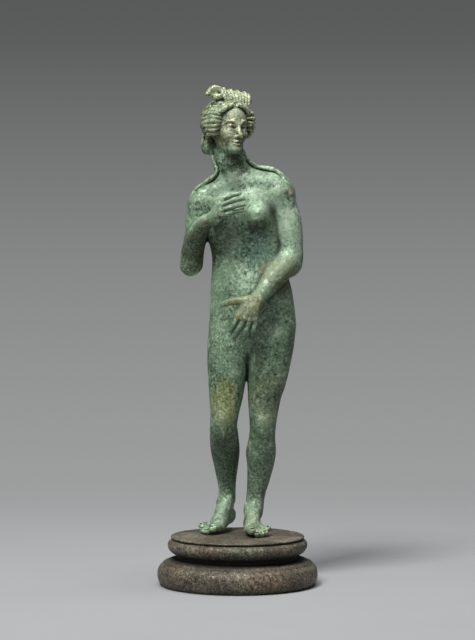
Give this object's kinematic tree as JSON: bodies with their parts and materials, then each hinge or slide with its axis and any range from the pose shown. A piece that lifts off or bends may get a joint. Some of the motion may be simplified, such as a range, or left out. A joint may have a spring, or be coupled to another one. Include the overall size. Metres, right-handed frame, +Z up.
{
  "type": "roman venus statuette",
  "caption": "Cast bronze statuette of a standing nude Venus, one hand before the breast and one before the lap, on a round moulded base.",
  "frame": {"origin": "middle of the round base's underside", "axes": "+Z up, -Y towards the viewer who faces the statuette, +X to that viewer's right"},
  "size_m": [0.1076, 0.1076, 0.3333],
  "materials": {
    "green_bronze": "cast bronze with a pitted green to olive patina, satin",
    "brown_bronze": "cast bronze with a dull brown patina, rust-coloured and pale specks"
  },
  "bodies": {
    "root": {"figure": "green_bronze", "base": "brown_bronze"}
  },
  "joints": []
}
